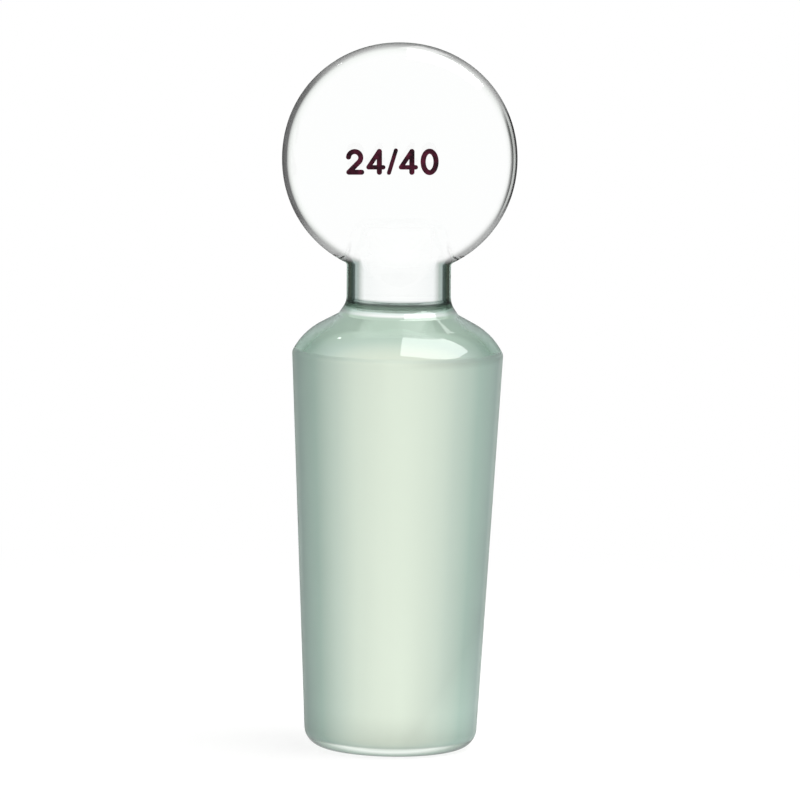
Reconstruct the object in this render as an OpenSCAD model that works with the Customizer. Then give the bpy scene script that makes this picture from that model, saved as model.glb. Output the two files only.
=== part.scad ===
// Solid pressed glass stopper with a flat round head and a ground 1:10 cone.
// One piece of glass. Millimetres, +Z up, standing on its foot at z = 0.
// The head's two flat faces look along -Y and +Y.

/* [Ground cone] */
// Diameter at the wide gauge plane
joint_d = 24; // [19:0.5:45]
// Distance between the wide and the narrow gauge plane
joint_l = 40; // [20:1:60]
// Length of cone over which the diameter falls by one millimetre
taper = 10; // [8:1:20]
// Ground length above the wide gauge plane
over_wide = 1.5; // [0.5:0.05:4]
// Length below the narrow gauge plane, down to the foot
under_narrow = 4; // [3:0.1:10]
// Radius of the edge between the ground cone and the shoulder
edge_r = 0.4; // [0.2:0.1:1]
// Radius of the fire-polished corner at the foot
foot_r = 2.2; // [0.5:0.1:3]

/* [Shoulder] */
// Mean slope of the shoulder, in degrees
shoulder_slope = 38.7; // [36:0.1:46]
// Slope beside the ground cone, in degrees
shoulder_steep = 61; // [50:0.5:70]
// Slope beside the neck, in degrees
shoulder_shallow = 28.5; // [15:0.5:34]
// Radius of the shoulder's bulge
shoulder_r = 7.5; // [2:0.5:9]
// How far the collar at the foot of the neck stands out where it meets the shoulder
collar_out = 0.9; // [0.3:0.05:1.5]
// Flare of the collar away from the upright, in degrees
collar_flare = 33.5; // [15:0.5:45]
// Radius of the hollow curve from the shoulder into the collar
collar_fillet = 0.4; // [0.2:0.1:1.5]
// Radius of the hollow curve from the collar into the neck
neck_fillet = 2.5; // [0.5:0.1:3.5]

/* [Neck] */
// Diameter of the solid neck
neck_d = 11.9; // [9:0.1:14]
// Height from where the shoulder would meet the neck to the lowest point of the head's circle
neck_l = 3.9; // [3:0.05:15]

/* [Head] */
// Diameter of the flat head
head_d = 26.9; // [22:0.1:36]
// Thickness of the head between its flat faces
head_t = 7; // [5:0.1:8.5]
// Length of round neck left between its foot and the pressed flank
press_foot = 1; // [0:0.1:2]
// Height above the head's lowest point at which the neck is as thin as the head
press_top = 6.6; // [4:0.1:9]
// Radius of both curves of the pressed flank
press_r = 3; // [0.5:0.1:5]

/* [Hidden] */
$fn = 128;
glass_tint = [0.78, 0.86, 0.80, 0.7];

// Ground cone: radius at a height, and the two heights that bound it
wide_z = under_narrow + joint_l;
edge_z = wide_z + over_wide;
function cone_radius(z) = joint_d / 2 + (z - wide_z) / taper / 2;

// Neck, shoulder and head heights
neck_r = neck_d / 2;
neck_z = edge_z + (cone_radius(edge_z) - neck_r) * tan(shoulder_slope);
head_z = neck_z + neck_l + head_d / 2;

// Points on the corners of an outline are kept to a tenth of a micron
grain = 0.0001;
function grid(p) = [for (c = p) round(c / grain) * grain];

// Where two straight lines meet; each is a point and a direction
function cross2(a, b) = a[0] * b[1] - a[1] * b[0];
function meet(p, d, q, e) = grid(p + d * cross2(q - p, e) / cross2(d, e));
function unit(v) = v / norm(v);

// The shoulder's two slopes, each as a point and a direction in the radius-height plane
steep_dir = [-cos(shoulder_steep), sin(shoulder_steep)];
shallow_dir = [-cos(shoulder_shallow), sin(shoulder_shallow)];
edge_point = grid([cone_radius(edge_z), edge_z]);
neck_point = grid([neck_r, neck_z]);
bulge_point = meet(edge_point, steep_dir, neck_point, shallow_dir);

// The collar: a short flare between the shoulder and the neck
collar_point = grid([neck_r + collar_out, neck_z - collar_out * tan(shoulder_shallow)]);
collar_top = grid([neck_r, collar_point[1] + collar_out / tan(collar_flare)]);

// Moves to a point in a coarse step and a fine one, so an arc stays tangent to the sides it joins
module at(p) {
    translate(grid(p)) translate(p - grid(p)) children();
}

// How far a corner piece reaches past the two sides it joins
overlap = 0.05;

// Piece between two sides of a corner and the arc that is tangent to both
module corner_piece(before, corner, after, r) {
    u = unit(before - corner);
    v = unit(after - corner);
    half = acos(u * v) / 2;
    inner = unit(u + v) * r / sin(half);
    at(corner + inner) difference() {
        polygon((1 + overlap / r) * [-inner, u * r / tan(half) - inner, [0, 0], v * r / tan(half) - inner]);
        circle(r);
    }
}

// Most of a short side that the corners at its two ends may take up between them
shared = 0.9;

// Anticlockwise outline whose corners are rounded off, or filled where they turn right
module rounded_outline(points, radii) {
    last = len(points);
    function before(i) = points[(i + last - 1) % last];
    function after(i) = points[(i + 1) % last];
    function bend(i) = cross2(unit(points[i] - before(i)), unit(after(i) - points[i]));
    function turn(i) = acos(unit(points[i] - before(i)) * unit(after(i) - points[i]));
    function wants(i) = radii[i % last] * tan(turn(i % last) / 2);
    function share(i) = shared * norm(after(i) - points[i]) / max(grain, wants(i) + wants(i + 1));
    function radius(i) = radii[i] * min(1, share(i), share((i + last - 1) % last));
    module pieces(side)
        for (i = [0 : last - 1])
            if (radii[i] > 0 && side * bend(i) > 0) corner_piece(before(i), points[i], after(i), radius(i));
    difference() {
        union() {
            polygon(points);
            pieces(-1);
        }
        pieces(1);
    }
}

// The pressed flank leads from just outside the neck in to the head's flat face, in an S
flank_wide = neck_r + overlap;
flank_thin = head_t / 2;
flank_foot = collar_top[1] + neck_fillet * tan(collar_flare / 2) + press_foot;
flank_top = head_z - head_d / 2 + press_top;

// Its slope follows from the height and the width that the S has to cover
press_h = flank_top - flank_foot;
press_w = flank_wide - flank_thin;
press_curve = min(press_r, shared * (press_h * press_h / press_w + press_w) / 4);
press_root = sqrt(press_h * press_h - (4 * press_curve - press_w) * press_w);
press_bend = press_curve * press_w / (press_h + press_root);

// Body: foot, ground cone, shoulder, collar and a round neck that runs up into the head
module body() {
    rotate_extrude() rounded_outline(
        [[0, 0], [cone_radius(0), 0], edge_point, bulge_point, collar_point, collar_top,
         [neck_r, head_z], [0, head_z]],
        [0, foot_r, edge_r, shoulder_r, collar_fillet, neck_fillet, 0, 0]);
}

// What the press takes away from one side of the neck
module pressed_away() {
    low = grid([flank_wide, flank_foot + press_bend]);
    high = grid([flank_thin, flank_top - press_bend]);
    below = low[1] - press_bend / shared;
    rotate([90, 0, 90]) linear_extrude(2 * neck_d, center = true) rounded_outline(
        [[flank_wide, below], [neck_d, below], [neck_d, head_z], [flank_thin, head_z], high, low],
        [0, 0, 0, 0, press_curve, press_curve]);
}

// Head: a flat disc with a full round rim
module head() {
    rim_r = head_t / 2;
    translate([0, 0, head_z]) rotate([90, 0, 0]) rotate_extrude() {
        translate([0, -rim_r]) square([head_d / 2 - rim_r, head_t]);
        translate([head_d / 2 - rim_r, 0]) circle(rim_r);
    }
}

module stopper() {
    color(glass_tint) {
        difference() {
            body();
            pressed_away();
            mirror([0, 1, 0]) pressed_away();
        }
        head();
    }
}

stopper();
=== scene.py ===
# Solid glass stopper with a pressed round head and a ground 1:10 cone, on a white paper sweep
import math

import bpy
import numpy as np
from mathutils import Matrix, Vector


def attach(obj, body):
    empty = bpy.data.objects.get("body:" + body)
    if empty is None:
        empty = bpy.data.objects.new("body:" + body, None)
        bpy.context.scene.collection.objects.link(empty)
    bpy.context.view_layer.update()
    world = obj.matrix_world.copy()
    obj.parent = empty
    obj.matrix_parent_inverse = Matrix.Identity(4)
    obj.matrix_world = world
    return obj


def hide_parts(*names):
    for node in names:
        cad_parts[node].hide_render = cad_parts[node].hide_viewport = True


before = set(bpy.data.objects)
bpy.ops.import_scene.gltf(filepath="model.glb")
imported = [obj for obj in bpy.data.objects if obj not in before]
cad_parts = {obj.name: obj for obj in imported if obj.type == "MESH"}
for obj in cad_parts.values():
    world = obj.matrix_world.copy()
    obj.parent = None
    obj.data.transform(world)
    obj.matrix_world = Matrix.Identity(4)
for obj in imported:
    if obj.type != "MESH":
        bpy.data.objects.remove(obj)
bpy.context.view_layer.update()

mm = 0.001


def srgb(hexText):
    # hex as shown on screen, turned into the linear values Cycles wants
    parts = [int(hexText[i:i + 2], 16) / 255 for i in (1, 3, 5)]
    return tuple(c / 12.92 if c <= 0.04045 else ((c + 0.055) / 1.055) ** 2.4 for c in parts) + (1.0,)


def addNode(tree, kind, links=None, stops=None, **settings):
    # settings: node properties by name, input sockets by name or as in0=..., in1=...; stops: a ramp's colours
    node = tree.nodes.new(kind)
    for name, value in settings.items():
        if name.startswith("in") and name[2:].isdigit():
            node.inputs[int(name[2:])].default_value = value
        elif name in node.inputs:
            node.inputs[name].default_value = value
        else:
            setattr(node, name, value)
    for i, (place, colour) in enumerate(stops or []):
        points = node.color_ramp.elements
        point = points[i] if i < 2 else points.new(place)
        point.position, point.color = place, srgb(colour)
    for socket, source in (links or {}).items():
        tree.links.new(source, node.inputs[socket])
    return node


def newMaterial(name):
    material = bpy.data.materials.new(name)
    material.use_nodes = True
    material.node_tree.nodes.clear()
    return material, material.node_tree


def newObject(name, data):
    piece = bpy.data.objects.new(name, data)
    bpy.context.scene.collection.objects.link(piece)
    return piece


# ---- glass

# millimetres and degrees
glass = {
    # the sizes of the part's source, but for edgeR, which is softer here, and headR, a hair smaller
    "jointD": 24.0, "wideZ": 44.0, "edgeZ": 45.5, "taper": 10.0,
    "edgeR": 0.9, "footR": 2.2,
    "steep": 61.0, "shallow": 28.5, "meanSlope": 38.7, "shoulderR": 7.5,
    "collarOut": 0.9, "collarFlare": 33.5, "collarFillet": 0.4, "neckFillet": 2.5,
    "neckR": 5.95, "neckL": 3.9, "headR": 13.43, "headHalf": 3.5,
    "pressFoot": 1.0, "pressTop": 6.6, "pressR": 3.0, "pressOut": 0.05,
    # the press leaves the head a touch lower than it is wide, fuller than a circle, and set a hair higher
    "squash": 0.989, "full": 2.035, "headLift": 0.02,
    # softened edge of the pressed flank: it grows with the depth pressed in, between a least and a most
    "edgeGrowth": 1.2, "edgeLeast": 0.01, "pressEdge": 0.9,
    # fire-polished hollow where the head meets the neck: at its sides, on its faces, and the change between
    "weld": 0.25, "weldFace": 0.9, "weldFrom": 1.5, "weldTo": 3.0,
    # the hollow fades out over a height that ends this far above the flank, and leaves a small share
    "weldFade": 2.0, "weldOver": 0.3, "weldLeast": 0.02,
    # the neck and head lean towards -X, as they set, and the lean sets in over a height
    "lean": 0.64, "leanOver": 3.0,
    # mesh: points round, and how much closer together they lie at the two ends of the head's rim
    "around": 320, "bunch": 0.33,
    # mesh: first ring of the foot, then steps along the arcs in degrees and along the straights
    "footRing": 2.0, "bodyArc": 2.5, "bodyStep": 3.0, "flankArc": 1.0, "flankStep": 0.5,
    # mesh: rows of the neck, closest over the crease under the head, then rows of the head up to an angle
    "firstRow": 0.2, "creaseFrom": 55.3, "creaseTo": 57.6,
    "rowBelow": 0.14, "rowCrease": 0.08, "rowAbove": 0.12, "headRows": 122, "headEnd": 89.3,
    # search for the surface: a radius that is outside the glass everywhere, and how often it is halved
    "outside": 15.0, "halvings": 42,
}


def cross2(a, b):
    return a[0] * b[1] - a[1] * b[0]


def unit(v):
    v = np.asarray(v, float)
    return v / np.linalg.norm(v)


def meet(p, d, q, e):
    # where two lines meet, each given as a point and a direction
    return p + d * cross2(q - p, e) / cross2(d, e)


def climb(slope):
    # direction that climbs inwards at a slope
    return np.array([-math.cos(math.radians(slope)), math.sin(math.radians(slope))])


def coneR(z):
    return glass["jointD"] / 2 + (z - glass["wideZ"]) / glass["taper"] / 2


def smoothStep(x):
    x = np.clip(x, 0, 1)
    return x * x * (3 - 2 * x)


def smoothMax(a, b, k):
    h = np.maximum(k - np.abs(a - b), 0) / k
    return np.maximum(a, b) + h * h * k / 4


def roundedPath(points, radii, arcStep, lineStep):
    # open path of radius-height points whose corners become true arcs; gives places and outward normals
    points = [np.asarray(p, float) for p in points]
    places, normals = [], []

    def line(a, b, last):
        d = unit(b - a)
        n = np.array([d[1], -d[0]])
        count = max(1, int(np.ceil(np.linalg.norm(b - a) / lineStep)))
        for k in range(count + (1 if last else 0)):
            places.append(a + (b - a) * k / count)
            normals.append(n)

    start = points[0]
    for i in range(1, len(points) - 1):
        corner, r = points[i], radii[i]
        into, out = unit(corner - points[i - 1]), unit(points[i + 1] - corner)
        turn = math.atan2(cross2(into, out), into @ out)
        side = 1 if turn > 0 else -1
        cut = r * math.tan(abs(turn) / 2)
        a = corner - into * cut
        line(start, a, False)
        centre = a + side * r * np.array([-into[1], into[0]])
        steps = max(2, int(np.ceil(math.degrees(abs(turn)) / arcStep)))
        spoke = a - centre
        for k in range(steps):
            angle = turn * k / steps
            c, s = math.cos(angle), math.sin(angle)
            arm = np.array([spoke[0] * c - spoke[1] * s, spoke[0] * s + spoke[1] * c])
            places.append(centre + arm)
            normals.append(side * arm / r)
        start = corner + out * cut
    line(start, points[-1], True)
    return np.array(places), np.array(normals)


# shoulder, collar and neck, as points of radius and height
edgePoint = np.array([coneR(glass["edgeZ"]), glass["edgeZ"]])
neckZ = glass["edgeZ"] + (edgePoint[0] - glass["neckR"]) * math.tan(math.radians(glass["meanSlope"]))
neckPoint = np.array([glass["neckR"], neckZ])
headZ = neckZ + glass["neckL"] + glass["headR"] + glass["headLift"]
bulgePoint = meet(edgePoint, climb(glass["steep"]), neckPoint, climb(glass["shallow"]))
collarPoint = neckPoint + np.array([1, -math.tan(math.radians(glass["shallow"]))]) * glass["collarOut"]
collarRise = glass["collarOut"] / math.tan(math.radians(glass["collarFlare"]))
collarTop = np.array([glass["neckR"], collarPoint[1] + collarRise])

# pressed flank: half thickness of the neck at a height, as an S of two arcs and a slope
flankWide, flankThin = glass["neckR"] + glass["pressOut"], glass["headHalf"]
filletRise = glass["neckFillet"] * math.tan(math.radians(glass["collarFlare"]) / 2)
flankFoot = collarTop[1] + filletRise + glass["pressFoot"]
flankTop = headZ - glass["headR"] + glass["pressTop"]
pressH, pressW = flankTop - flankFoot, flankWide - flankThin
pressRoot = math.sqrt(pressH ** 2 - (4 * glass["pressR"] - pressW) * pressW)
pressBend = glass["pressR"] * pressW / (pressH + pressRoot)
flankPath, _ = roundedPath(
    [[flankWide, collarTop[1]], [flankWide, flankFoot + pressBend],
     [flankThin, flankTop - pressBend], [flankThin, headZ]],
    [0, glass["pressR"], glass["pressR"], 0], glass["flankArc"], glass["flankStep"])


def glassField(x, y, z):
    # below zero inside the neck and the head
    half = np.interp(z, flankPath[:, 1], flankPath[:, 0])
    edge = np.clip(glass["edgeGrowth"] * (glass["neckR"] - half), glass["edgeLeast"], glass["pressEdge"])
    neck = smoothMax(np.hypot(x, y) - glass["neckR"], np.abs(y) - half, edge)
    neck = np.maximum(neck, z - headZ)
    full, rim = glass["full"], glass["headHalf"]
    rho = (np.abs(x) ** full + np.abs((z - headZ) / glass["squash"]) ** full) ** (1 / full)
    head = np.hypot(np.maximum(rho - (glass["headR"] - rim), 0), y) - rim
    onFace = smoothStep((np.abs(y) - glass["weldFrom"]) / (glass["weldTo"] - glass["weldFrom"]))
    weld = glass["weld"] + (glass["weldFace"] - glass["weld"]) * onFace
    weld = weld * np.clip((flankTop + glass["weldOver"] - z) / glass["weldFade"], glass["weldLeast"], 1)
    return -smoothMax(-neck, -head, weld)


def latheRows(places, normals, phi):
    r, z = places[:, 0][:, None], places[:, 1][:, None]
    co = np.stack([r * np.cos(phi), r * np.sin(phi), z + 0 * phi], axis=-1)
    nr, nz = normals[:, 0][:, None], normals[:, 1][:, None]
    no = np.stack([nr * np.cos(phi), nr * np.sin(phi), nz + 0 * phi], axis=-1)
    return co, no


def fieldRows(heights, phi):
    # each point lies on the surface, found by halving the way from the axis to a radius outside the glass
    z = np.repeat(np.asarray(heights)[:, None], len(phi), axis=1)
    c, s = np.cos(phi)[None, :], np.sin(phi)[None, :]
    low, high = np.zeros_like(z), np.full_like(z, glass["outside"])
    for _ in range(glass["halvings"]):
        mid = (low + high) / 2
        inside = glassField(mid * c, mid * s, z) < 0
        low, high = np.where(inside, mid, low), np.where(inside, high, mid)
    x, y = low * c, low * s
    e = 1e-3   # the normal is the slope of the field over a micron each way
    grad = np.stack([
        glassField(x + e, y, z) - glassField(x - e, y, z),
        glassField(x, y + e, z) - glassField(x, y - e, z),
        glassField(x, y, z + e) - glassField(x, y, z - e)], axis=-1)
    grad /= np.maximum(np.linalg.norm(grad, axis=-1, keepdims=True), 1e-12)
    return np.stack([x, y, z], axis=-1), grad


def leaned(co, no):
    # turns everything above the foot of the neck a little towards -X
    angle = math.radians(glass["lean"]) * smoothStep((co[:, 2] - neckZ) / glass["leanOver"])
    c, s = np.cos(angle), np.sin(angle)
    up = co[:, 2] - neckZ
    places = np.stack([co[:, 0] * c - up * s, co[:, 1], neckZ + up * c + co[:, 0] * s], axis=-1)
    normals = np.stack([no[:, 0] * c - no[:, 2] * s, no[:, 1], no[:, 2] * c + no[:, 0] * s], axis=-1)
    return places, normals


def shellFaces(rows, around):
    # quads between rows of points, closed by a fan at the foot and at the crown
    faces = []
    for i in range(rows - 1):
        a, b = i * around, (i + 1) * around
        for j in range(around):
            k = (j + 1) % around
            faces.append((a + j, a + k, b + k, b + j))
    top, foot, crown = (rows - 1) * around, rows * around, rows * around + 1
    for j in range(around):
        k = (j + 1) % around
        faces.append((k, j, foot))
        faces.append((top + j, top + k, crown))
    return faces


def buildGlass():
    count = glass["around"]
    t = np.arange(count) * 2 * math.pi / count
    phi = t - glass["bunch"] * np.sin(2 * t)
    firstRow = glass["firstRow"]
    # foot, cone, shoulder and the collar up to the neck
    bodyPlaces, bodyNormals = roundedPath(
        [[glass["footRing"], 0], [coneR(0), 0], edgePoint, bulgePoint, collarPoint, collarTop,
         [glass["neckR"], flankFoot + firstRow / 2]],
        [0, glass["footR"], glass["edgeR"], glass["shoulderR"],
         glass["collarFillet"], glass["neckFillet"], 0],
        glass["bodyArc"], glass["bodyStep"])
    co, no = latheRows(bodyPlaces, bodyNormals, phi)
    # pressed neck, then the head with rows that close up towards its top
    neckRows = np.concatenate([
        np.arange(flankFoot + firstRow, glass["creaseFrom"], glass["rowBelow"]),
        np.arange(glass["creaseFrom"], glass["creaseTo"], glass["rowCrease"]),
        np.arange(glass["creaseTo"], flankTop + firstRow, glass["rowAbove"])])
    headHigh = glass["headR"] * glass["squash"]
    startAngle = math.asin((neckRows[-1] + firstRow / 2 - headZ) / headHigh)
    headAngles = np.linspace(startAngle, math.radians(glass["headEnd"]), glass["headRows"])
    headCo, headNo = fieldRows(np.concatenate([neckRows, headZ + headHigh * np.sin(headAngles)]), phi)
    # the last two points close the foot and the crown
    places = np.concatenate([co.reshape(-1, 3), headCo.reshape(-1, 3), [[0, 0, 0], [0, 0, headZ + headHigh]]])
    normals = np.concatenate([no.reshape(-1, 3), headNo.reshape(-1, 3), [[0, 0, -1], [0, 0, 1]]])
    places, normals = leaned(places, normals)
    mesh = bpy.data.meshes.new("stopperGlass")
    mesh.from_pydata([tuple(p * mm) for p in places], [], shellFaces(len(co) + len(headCo), count))
    mesh.polygons.foreach_set("use_smooth", [True] * len(mesh.polygons))
    mesh.normals_split_custom_set_from_vertices([tuple(n) for n in normals])
    mesh.update()
    return newObject("stopperGlass", mesh)


stopper = buildGlass()
print("glass:", len(stopper.data.polygons), "faces")

# Borosilicate glass, pressed and fire-polished: clear and colourless where it is thin. Its dark green-grey
# edges and the milky green of the thick shoulder are painted shade over its own pale green, tinted by how far
# the surface turns from the eye.
# Ground zone: lapped with fine grit, so it scatters what is behind it into a soft pale green; its darker
# edges are painted shade.
finish = {
    "ior": 1.474, "absorb": "#B8E4CC", "density": 4.0,
    # fire-polished skin: length and depth of its waves, in millimetres
    "wave": 6.0, "waveDeep": 0.03,
    # ground zone: its two heights and how softly it ends, in millimetres
    "groundFrom": 1.25, "groundTo": 46.0, "groundSoft": 0.12, "roughness": 0.55,
    # grit 240 leaves pits of 0.05 mm, drawn coarser so that they show
    "grit": 0.35, "gritDeep": 0.004,
    # uneven lapping: width of a streak, how much taller it is, share of the light, and the noise it spans
    "streak": 5.0, "streakTall": 25.0, "streakDeep": 0.05, "streakRange": (0.3, 0.7),
    # painted shade line where the lapping ends under the shoulder, darker towards +X: its height, where it
    # sets in towards +X, and its factor
    "ringZ": (44.7, 45.7), "ringX": (-1.0, 6.0), "ringShade": 0.65,
    # most stops of tints and bands were fitted by a program, and all were thinned and rounded by one
    # tints of the light that enters, over how far the surface turns away (0 faces the eye, 1 is edge on):
    # painted shade and painted light that stand in for the dark room and the bright studio seen bent through
    # the glass
    "tintsAndPaintedShade": {
        "clear": [(0, "#FFFFFF"), (1, "#FFFFFF")],
        "ground": [(0, "#D0E0C4"), (0.2, "#A0B8A4"), (0.4, "#789888"), (0.7, "#708880"), (0.8, "#8CA098")],
        "foot": [(0.2, "#B0C0B0"), (0.35, "#ECF8EC"), (0.55, "#809888"), (0.75, "#3C4C44")],
        "shoulderLow": [(0.1, "#C0D0B4"), (0.3, "#94B0A0"), (0.5, "#608070"), (0.6, "#587C68"),
                        (0.75, "#88AC9C")],
        "shoulderHigh": [(0.46, "#90B098"), (0.52, "#74907C"), (0.65, "#789884"), (0.75, "#98B0A8")],
        "collar": [(0.12, "#FFFFFF"), (0.46, "#BCD0C8"), (0.55, "#80988C"), (0.7, "#74807C")],
        "neck": [(0, "#FFFFFF"), (0.25, "#ECF0F0"), (0.37, "#809088"), (0.44, "#708480"), (0.47, "#182420"),
                 (0.55, "#040C08"), (0.65, "#081008"), (0.75, "#000000"), (0.85, "#98C0AC")],
        "rimLow": [(0.15, "#FFFFFF"), (0.36, "#A8ACA8"), (0.48, "#888888"), (1, "#707070")],
        "rimSide": [(0, "#FFFFFF"), (0.29, "#F4F8F4"), (0.36, "#D8DCD8"), (0.47, "#343434"), (1, "#181818")],
        "rimTop": [(0, "#FFFFFF"), (0.34, "#F4F8F4"), (0.53, "#909090"), (0.7, "#686868"), (1, "#646464")],
        "rimRight": [(0, "#FFFFFF"), (0.33, "#E4E8E4"), (0.4, "#282C28"), (0.49, "#101010"),
                     (0.53, "#989C98"), (0.6, "#A8ACA8"), (0.66, "#404040"), (0.72, "#000000")],
    },
    # directions that zones and shades are measured along, in millimetres
    "ways": {"x": (1, 0, 0), "z": (0, 0, 1), "upRight": (0.35, 0, 1), "upLeft": (-0.5, 0, 1),
             "lowRight": (1, 0, -0.6)},
    # name, way, from, to, tint below, tint above: each zone can be built on the ones before it
    "zones": [
        # the head's rim, painted shade and light: dark where the room is seen through it, lighter at the top
        # right under the key softbox, a light and dark double line at +X, and lighter by the neck
        ("rim", "upRight", 71.0, 80.0, "rimSide", "rimTop"),
        ("rim", "x", 10.8, 12.2, "rim", "rimRight"),
        ("rim", "upLeft", 54.3, 57.3, "rimLow", "rim"),
        ("rim", "z", 57.0, 61.5, "rimLow", "rim"),
        ("rim", "outwards", 11.9, 12.7, "clear", "rim"),   # from the head's middle: no rim over the neck
        ("upper", "z", 56.0, 56.8, "neck", "rim"),
        ("lower", "z", 46.3, 49.4, "shoulderLow", "shoulderHigh"),
        ("lower", "z", 20.0, 30.0, "foot", "lower"),
        ("lower", "z", 50.1, 50.38, "lower", "collar"),
        ("clearSkin", "z", 51.2, 51.6, "lower", "upper"),
    ],
    # way, from, to, factor below, factor above: painted light and shade on the ground zone, darker at -X and
    # lighter at +X on the key softbox's side, and lightest low down at +X
    "shades": [("x", -11.8, -4.0, 0.66, 1.0), ("x", 7.0, 12.0, 1.0, 1.12), ("lowRight", 1.0, 8.1, 1.0, 1.75)],
    # painted shade over the height in millimetres: a dark line in the hollow over the collar, and darker
    # glass up from the foot's edge
    "bands": [
        [(50.4, "#FFFFFF"), (50.7, "#BCD4C8"), (50.9, "#94B0A0"), (51.0, "#405848"), (51.5, "#08100C"),
         (51.6, "#384440"), (51.7, "#A8B4B0"), (51.9, "#A0ACA8"), (52.1, "#FFFFFF")],
        [(1.1, "#FFFFFF"), (1.2, "#CCCCCC"), (1.5, "#E4E4E4"), (5.0, "#FFFFFF")],
    ],
}


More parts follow.
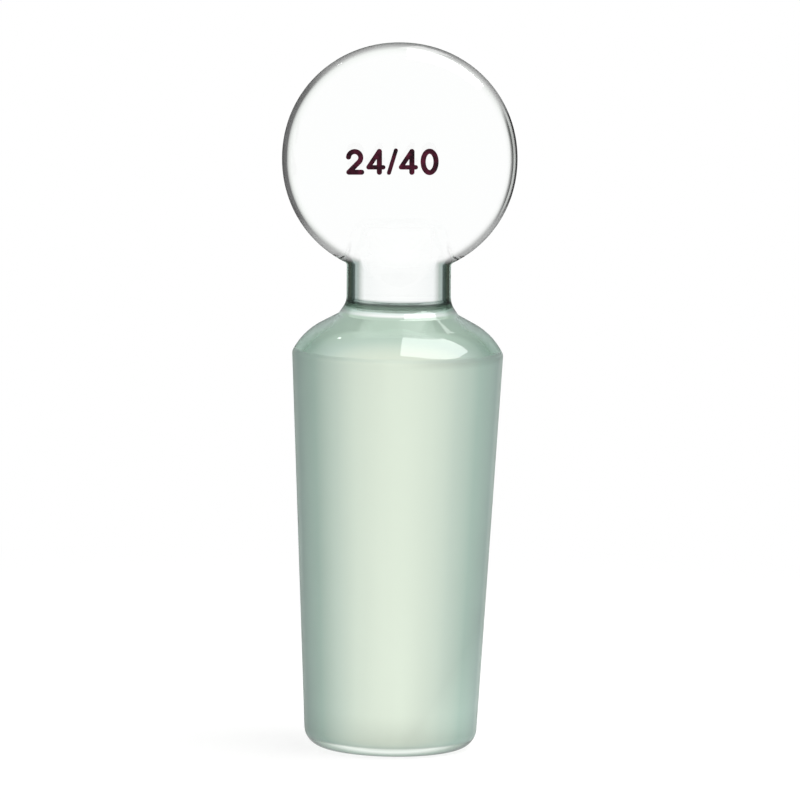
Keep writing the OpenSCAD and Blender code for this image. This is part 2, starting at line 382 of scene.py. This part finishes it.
def glassMaterial():
    material, tree = newMaterial("borosilicateGlassGroundCone")
    place = addNode(tree, "ShaderNodeTexCoord").outputs["Object"]
    along = {name: addNode(tree, "ShaderNodeVectorMath", {0: place}, operation="DOT_PRODUCT",
                           in1=Vector(way) / mm).outputs["Value"] for name, way in finish["ways"].items()}
    spoke = addNode(tree, "ShaderNodeVectorMath", {0: place}, operation="MULTIPLY_ADD",
                    in1=(1 / mm, 0, 1 / mm), in2=(0, 0, -headZ))
    along["outwards"] = addNode(tree, "ShaderNodeVectorMath", {0: spoke.outputs[0]},
                                operation="LENGTH").outputs["Value"]

    # clear glass: one tint of painted shade and painted light for each zone, blended over the zone's two
    # limits
    facing = addNode(tree, "ShaderNodeLayerWeight", Blend=0.5).outputs["Facing"]
    colours = {name: addNode(tree, "ShaderNodeValToRGB", {0: facing}, stops=stops).outputs[0]
               for name, stops in finish["tintsAndPaintedShade"].items()}
    for name, way, low, high, below, above in finish["zones"]:
        share = addNode(tree, "ShaderNodeMapRange", {0: along[way]}, interpolation_type="SMOOTHSTEP",
                        in1=low, in2=high)
        colours[name] = addNode(tree, "ShaderNodeMix", data_type="RGBA",
                                links={0: share.outputs[0], 6: colours[below], 7: colours[above]}).outputs[2]

    # ground glass: lapping leaves soft upright streaks round the cone; a painted shade ring darkens where it
    # ends, more towards +X
    turning = addNode(tree, "ShaderNodeVectorMath", {0: place}, operation="MULTIPLY",
                      in1=(1, 1, 1 / finish["streakTall"]))
    streaks = addNode(tree, "ShaderNodeTexNoise", {"Vector": turning.outputs[0]},
                      Scale=1 / (finish["streak"] * mm), Detail=2.0)
    low, high = finish["streakRange"]
    shade = addNode(tree, "ShaderNodeMapRange", {0: streaks.outputs["Fac"]}, in1=low, in2=high,
                    in3=1 - finish["streakDeep"], in4=1 + finish["streakDeep"]).outputs[0]
    low, high = finish["ringX"]
    ringSide = addNode(tree, "ShaderNodeMapRange", {0: along["x"]}, interpolation_type="SMOOTHSTEP",
                       in1=low, in2=high, in3=1.0, in4=finish["ringShade"])
    low, high = finish["ringZ"]
    factors = [addNode(tree, "ShaderNodeMapRange", {0: along["z"], 4: ringSide.outputs[0]},
                       interpolation_type="SMOOTHSTEP", in1=low, in2=high, in3=1.0)]
    # painted light and shade: the shades list darkens -X and lightens +X
    factors += [addNode(tree, "ShaderNodeMapRange", {0: along[way]}, in1=low, in2=high, in3=below, in4=above)
                for way, low, high, below, above in finish["shades"]]
    for factor in factors:
        shade = addNode(tree, "ShaderNodeMath", {0: shade, 1: factor.outputs[0]},
                        operation="MULTIPLY").outputs[0]
    ground = addNode(tree, "ShaderNodeMix", {6: colours["ground"], 7: shade}, data_type="RGBA",
                     blend_type="MULTIPLY", in0=1.0)

    # the ground zone lies between two heights
    soft, low, high = finish["groundSoft"], finish["groundFrom"], finish["groundTo"]
    start = addNode(tree, "ShaderNodeMapRange", {0: along["z"]}, interpolation_type="SMOOTHSTEP",
                    in1=low - soft, in2=low + soft)
    end = addNode(tree, "ShaderNodeMapRange", {0: along["z"]}, interpolation_type="SMOOTHSTEP",
                  in1=high + soft, in2=high - soft)
    isGround = addNode(tree, "ShaderNodeMath", {0: start.outputs[0], 1: end.outputs[0]},
                       operation="MULTIPLY").outputs[0]
    tint = addNode(tree, "ShaderNodeMix", {0: isGround, 6: colours["clearSkin"], 7: ground.outputs[2]},
                   data_type="RGBA").outputs[2]
    # painted shade: a dark line in the hollow over the collar, and darker glass up from the foot's edge
    for stops in finish["bands"]:
        low, high = stops[0][0], stops[-1][0]
        way = addNode(tree, "ShaderNodeMapRange", {0: along["z"]}, in1=low, in2=high)
        band = addNode(tree, "ShaderNodeValToRGB", {0: way.outputs[0]},
                       stops=[((z - low) / (high - low), colour) for z, colour in stops])
        tint = addNode(tree, "ShaderNodeMix", {6: tint, 7: band.outputs[0]}, data_type="RGBA",
                       blend_type="MULTIPLY", in0=1.0).outputs[2]
    # only light that enters is tinted, so a ray through the glass is tinted once
    inside = addNode(tree, "ShaderNodeNewGeometry").outputs["Backfacing"]
    colour = addNode(tree, "ShaderNodeMix", {0: inside, 6: tint, 7: colours["clear"]}, data_type="RGBA")

    # slow waves on the clear skin, fine pits on the ground one
    rough = addNode(tree, "ShaderNodeMath", {0: isGround}, operation="MULTIPLY", in1=finish["roughness"])
    waves = addNode(tree, "ShaderNodeTexNoise", {"Vector": place},
                    Scale=1 / (finish["wave"] * mm), Detail=1.0)
    pits = addNode(tree, "ShaderNodeTexNoise", {"Vector": place},
                   Scale=1 / (finish["grit"] * mm), Detail=2.0)
    deep = addNode(tree, "ShaderNodeMath", {0: waves.outputs["Fac"]}, operation="MULTIPLY",
                   in1=finish["waveDeep"] * mm)
    fine = addNode(tree, "ShaderNodeMath", {0: pits.outputs["Fac"]}, operation="MULTIPLY",
                   in1=finish["gritDeep"] * mm)
    relief = addNode(tree, "ShaderNodeMix", {0: isGround, 2: deep.outputs[0], 3: fine.outputs[0]},
                     data_type="FLOAT")
    bump = addNode(tree, "ShaderNodeBump", {"Height": relief.outputs[0]}, Strength=1.0, Distance=1.0)
    skin = {"Base Color": colour.outputs[2], "Roughness": rough.outputs[0], "Normal": bump.outputs[0]}
    shader = addNode(tree, "ShaderNodeBsdfPrincipled", skin,
                     **{"IOR": finish["ior"], "Transmission Weight": 1.0})
    volume = addNode(tree, "ShaderNodeVolumeAbsorption",
                     Color=srgb(finish["absorb"]), Density=finish["density"])
    addNode(tree, "ShaderNodeOutputMaterial", {"Surface": shader.outputs[0], "Volume": volume.outputs[0]})
    return material


stopper.data.materials.append(glassMaterial())
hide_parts("stopper")
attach(stopper, "root")
print("glass material done")

# ---- size numbers on the head

# millimetres from the middle of the print, and degrees
sizePrint = {
    "centre": (-1.04, 67.69), "turn": 1.1, "front": -3.504, "thick": 0.015,
    # the outlines are followed over a grid that reaches this far each way, cell by cell
    "gridX": 5.6, "gridZ": 1.8, "cell": 0.03,
    # strokes; a bow is its middle, half width, half height, and its angles from, to and step
    "two": {"bow": (-4.269, 0.475, 0.697, 0.697, 174, -46, -9),
            "base": [(-4.93, -1.18), (-3.47, -1.18)], "wide": 0.58},
    "slash": {"line": [(0.412, 1.3), (-0.376, -1.25)], "wide": 0.47},
    "nought": {"bow": (4.242, 0.0, 0.735, 1.216, 0, 361, 8), "wide": 0.59},
    # strokes of a four and their widths, measured from its upright, and where the two uprights stand
    "four": [([(0, 1.18), (0, -1.18)], 0.6), ([(-0.03, 1.2), (-1.23, -0.61)], 0.52),
             ([(-1.22, -0.62), (0.44, -0.62)], 0.51)],
    "fourAt": (-1.462, 2.232),
    "ink": "#14000A", "inkLight": "#54142C", "mottle": 0.9, "mottleRange": (0.35, 0.7),
    "roughness": 0.5, "specular": 0.12,
}


def bow(x, z, halfWide, halfHigh, start, end, step):
    turns = [math.radians(a) for a in range(start, end, step)]
    return [(x + halfWide * math.cos(a), z + halfHigh * math.sin(a)) for a in turns]


def numberStrokes():
    # each stroke is its points and its width
    two, slash, nought = sizePrint["two"], sizePrint["slash"], sizePrint["nought"]
    strokes = [(bow(*two["bow"]) + two["base"], two["wide"]), (slash["line"], slash["wide"]),
               (bow(*nought["bow"]), nought["wide"])]
    for upright in sizePrint["fourAt"]:
        strokes += [([(upright + x, z) for x, z in points], wide) for points, wide in sizePrint["four"]]
    return strokes


def strokeField(x, z):
    # below zero where there is ink
    best = np.full(x.shape, np.inf)
    for points, wide in numberStrokes():
        for (ax, az), (bx, bz) in zip(points, points[1:]):
            dx, dz = bx - ax, bz - az
            t = np.clip(((x - ax) * dx + (z - az) * dz) / (dx * dx + dz * dz), 0, 1)
            best = np.minimum(best, np.hypot(x - ax - t * dx, z - az - t * dz) - wide / 2)
    return best


def inkLoops():
    # closed outlines of the strokes, followed round the cells of a fine grid
    wide, high, cell = sizePrint["gridX"], sizePrint["gridZ"], sizePrint["cell"]
    xs, zs = np.arange(-wide, wide, cell), np.arange(-high, high, cell)
    field = strokeField(*np.meshgrid(xs, zs, indexing="ij"))
    inside = field < 0

    def crossing(i, j, k, l):
        t = field[i, j] / (field[i, j] - field[k, l])
        return (xs[i] + (xs[k] - xs[i]) * t, zs[j] + (zs[l] - zs[j]) * t)

    follow, spots = {}, {}
    mixed = inside[:-1, :-1].astype(int) + inside[1:, :-1] + inside[:-1, 1:] + inside[1:, 1:]
    for i, j in np.argwhere((mixed > 0) & (mixed < 4)):
        corners = [(i, j), (i + 1, j), (i + 1, j + 1), (i, j + 1)]
        ends = {}
        for a, b in zip(corners, corners[1:] + corners[:1]):
            if inside[a] != inside[b]:
                key = (min(a, b), max(a, b))
                spots[key] = crossing(*a, *b)
                ends.setdefault(bool(inside[a]), []).append(key)
        for start, end in zip(ends[True], ends[False]):
            follow[start] = end
    loops = []
    while follow:
        key = next(iter(follow))
        loop = []
        while key in follow:
            loop.append(spots[key])
            key = follow.pop(key)
        loops.append(loop)
    return loops


def buildPrint():
    curve = bpy.data.curves.new("sizePrintOutline", "CURVE")
    curve.dimensions, curve.fill_mode, curve.extrude = "2D", "BOTH", sizePrint["thick"] / 2 * mm
    for loop in inkLoops():
        spline = curve.splines.new("POLY")
        spline.points.add(len(loop) - 1)
        spline.use_cyclic_u = True
        for point, (x, z) in zip(spline.points, loop):
            point.co = (x * mm, z * mm, 0, 1)
    outline = newObject("sizePrintOutline", curve)
    bpy.context.view_layer.update()
    mesh = bpy.data.meshes.new_from_object(outline.evaluated_get(bpy.context.evaluated_depsgraph_get()))
    bpy.data.objects.remove(outline)
    bpy.data.curves.remove(curve)
    mesh.name = "sizePrint"
    # from the flat outline to the -Y face of the head
    x, z = sizePrint["centre"]
    stand = Matrix.Translation(Vector((x, sizePrint["front"] - sizePrint["thick"] / 2, z)) * mm)
    turn = Matrix.Rotation(math.radians(-sizePrint["turn"]), 4, "Y")
    mesh.transform(stand @ turn @ Matrix.Rotation(math.radians(90), 4, "X"))
    return newObject("sizePrint", mesh)


# Ceramic enamel ink, screen printed and fired on: opaque wine red, slightly uneven in depth, half gloss
def inkMaterial():
    material, tree = newMaterial("firedCeramicEnamelInk")
    coords = addNode(tree, "ShaderNodeTexCoord")
    mottle = addNode(tree, "ShaderNodeTexNoise", {"Vector": coords.outputs["Object"]},
                     Scale=1 / (sizePrint["mottle"] * mm), Detail=3.0, Roughness=0.6)
    low, high = sizePrint["mottleRange"]
    colour = addNode(tree, "ShaderNodeValToRGB", {0: mottle.outputs["Fac"]},
                     stops=[(low, sizePrint["ink"]), (high, sizePrint["inkLight"])])
    shader = addNode(tree, "ShaderNodeBsdfPrincipled", {"Base Color": colour.outputs[0]},
                     **{"Roughness": sizePrint["roughness"], "Specular IOR Level": sizePrint["specular"]})
    addNode(tree, "ShaderNodeOutputMaterial", {0: shader.outputs[0]})
    return material


numbers = buildPrint()
numbers.data.materials.append(inkMaterial())
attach(numbers, "root")
print("size numbers:", len(numbers.data.polygons), "faces")

# ---- stage

# metres and watts
stage = {
    "floor": "#F7F7F5", "floorR": 3.0, "floorSides": 64,
    "world": 0.55,
    # mirror images show white paper in front of the glass and a dim room behind it: how dim, and where
    # they change over along Y, for a direction into the room and for a place on the floor
    "mirror": 0.12, "roomTurn": (-0.25, 0.2), "floorTurn": (-0.05, 0.04),
    # how bare of shadow the paper is beside the foot, and the distances over which the shadow ends
    "nearShare": 0.84, "shadowEnd": (0.03, 0.16),
    # each softbox makes a mirror image on the glass and isn't seen through it
    "softboxes": {
        "softboxKey": {"place": (0.27, -0.03, 0.50), "aim": (0.27, -0.03, 0),
                       "size": (0.50, 0.44), "power": 4.6},
        "softboxTop": {"place": (0.09, 0.27, 0.50), "aim": (0, 0, 0.045),
                       "size": (0.15, 0.28), "power": 0.33},
        "softboxBack": {"place": (-0.35, 0.30, 0.575), "aim": (0, 0, 0.045),
                        "size": (0.025, 0.03), "power": 0.035},
    },
}


def rayKind(tree):
    # first output: rays that see the studio as plain white; second: mirror reflections
    path = addNode(tree, "ShaderNodeLightPath")
    seen = addNode(tree, "ShaderNodeMath", operation="MAXIMUM",
                   links={0: path.outputs["Is Camera Ray"], 1: path.outputs["Is Transmission Ray"]})
    return seen.outputs[0], path.outputs["Is Glossy Ray"]


def buildWorld():
    world = bpy.data.worlds.new("whiteStudio")
    bpy.context.scene.world = world
    world.use_nodes = True
    tree = world.node_tree
    tree.nodes.clear()
    seen, mirrored = rayKind(tree)
    way = addNode(tree, "ShaderNodeTexCoord")
    along = addNode(tree, "ShaderNodeSeparateXYZ", {0: way.outputs["Generated"]})
    low, high = stage["roomTurn"]
    level = addNode(tree, "ShaderNodeMapRange", {0: along.outputs[1]}, interpolation_type="SMOOTHSTEP",
                    in1=low, in2=high, in3=1.0, in4=stage["mirror"])
    dim = addNode(tree, "ShaderNodeMix", {0: mirrored, 3: level.outputs[0]}, data_type="FLOAT",
                  in2=stage["world"])
    strength = addNode(tree, "ShaderNodeMix", {0: seen, 2: dim.outputs[0]}, data_type="FLOAT", in3=1.0)
    back = addNode(tree, "ShaderNodeBackground", {"Strength": strength.outputs[0]}, Color=(1, 1, 1, 1))
    addNode(tree, "ShaderNodeOutputWorld", {0: back.outputs[0]})


# Uncoated paper, matt: the camera sees it mostly bare, with a little shadow, and the glass shows it white
def paperMaterial():
    material, tree = newMaterial("mattWhitePaperSweep")
    seen, mirrored = rayKind(tree)
    diffuse = addNode(tree, "ShaderNodeBsdfDiffuse", Color=srgb(stage["floor"]))
    coords = addNode(tree, "ShaderNodeTexCoord")
    far = addNode(tree, "ShaderNodeVectorMath", {0: coords.outputs["Object"]}, operation="LENGTH")
    low, high = stage["shadowEnd"]
    fade = addNode(tree, "ShaderNodeMapRange", {0: far.outputs["Value"]}, interpolation_type="SMOOTHSTEP",
                   in1=low, in2=high, in3=stage["nearShare"], in4=1.0)
    place = addNode(tree, "ShaderNodeSeparateXYZ", {0: coords.outputs["Object"]})
    low, high = stage["floorTurn"]
    level = addNode(tree, "ShaderNodeMapRange", {0: place.outputs[1]}, interpolation_type="SMOOTHSTEP",
                    in1=low, in2=high, in3=1.0, in4=stage["mirror"])
    strength = addNode(tree, "ShaderNodeMix", {0: seen, 2: level.outputs[0]}, data_type="FLOAT", in3=1.0)
    glow = addNode(tree, "ShaderNodeEmission", {"Strength": strength.outputs[0]}, Color=(1, 1, 1, 1))
    share = addNode(tree, "ShaderNodeMix", {0: seen, 2: mirrored, 3: fade.outputs[0]}, data_type="FLOAT")
    both = addNode(tree, "ShaderNodeMixShader",
                   {0: share.outputs[0], 1: diffuse.outputs[0], 2: glow.outputs[0]})
    addNode(tree, "ShaderNodeOutputMaterial", {0: both.outputs[0]})
    return material


def buildFloor():
    mesh = bpy.data.meshes.new("floorPaper")
    r, sides = stage["floorR"], stage["floorSides"]
    turns = [2 * math.pi * i / sides for i in range(sides)]
    mesh.from_pydata([(r * math.cos(a), r * math.sin(a), 0) for a in turns], [], [tuple(range(sides))])
    mesh.materials.append(paperMaterial())
    floor = newObject("floorPaper", mesh)


def addSoftbox(name, place, aim, size, power):
    light = bpy.data.lights.new(name, "AREA")
    light.shape = "RECTANGLE"
    light.size, light.size_y = size
    light.energy = power
    lamp = newObject(name, light)
    lamp.location = place
    lamp.rotation_euler = (Vector(aim) - Vector(place)).to_track_quat("-Z", "Y").to_euler()
    lamp.visible_transmission = False


buildWorld()
buildFloor()
for name, softbox in stage["softboxes"].items():
    addSoftbox(name, **softbox)
print("stage done")

# ---- camera

# millimetres and degrees, and the clip distances in metres; the aim is what the middle of the picture shows
view = {
    "distance": 800.0, "elevation": 6.9, "aim": (0.369, 0.0, 40.056), "roll": 1.12,
    "lens": 314.4, "sensor": 36.0, "clip": (0.05, 50.0),
}


def buildCamera():
    data = bpy.data.cameras.new("productCamera")
    data.lens, data.sensor_width = view["lens"], view["sensor"]
    data.clip_start, data.clip_end = view["clip"]
    camera = newObject("productCamera", data)
    e, a = math.radians(view["elevation"]), math.radians(view["roll"])
    aim = Vector(view["aim"]) * mm
    back = Vector((0, -math.cos(e), math.sin(e)))
    levelRight = Vector((1, 0, 0))
    levelUp = back.cross(levelRight)
    right = levelRight * math.cos(a) + levelUp * math.sin(a)
    up = levelUp * math.cos(a) - levelRight * math.sin(a)
    turn = Matrix((right, up, back)).transposed().to_4x4()
    camera.matrix_world = Matrix.Translation(aim + back * view["distance"] * mm) @ turn
    bpy.context.scene.camera = camera


buildCamera()
bpy.context.scene.view_settings.view_transform = "Standard"
print("camera done")
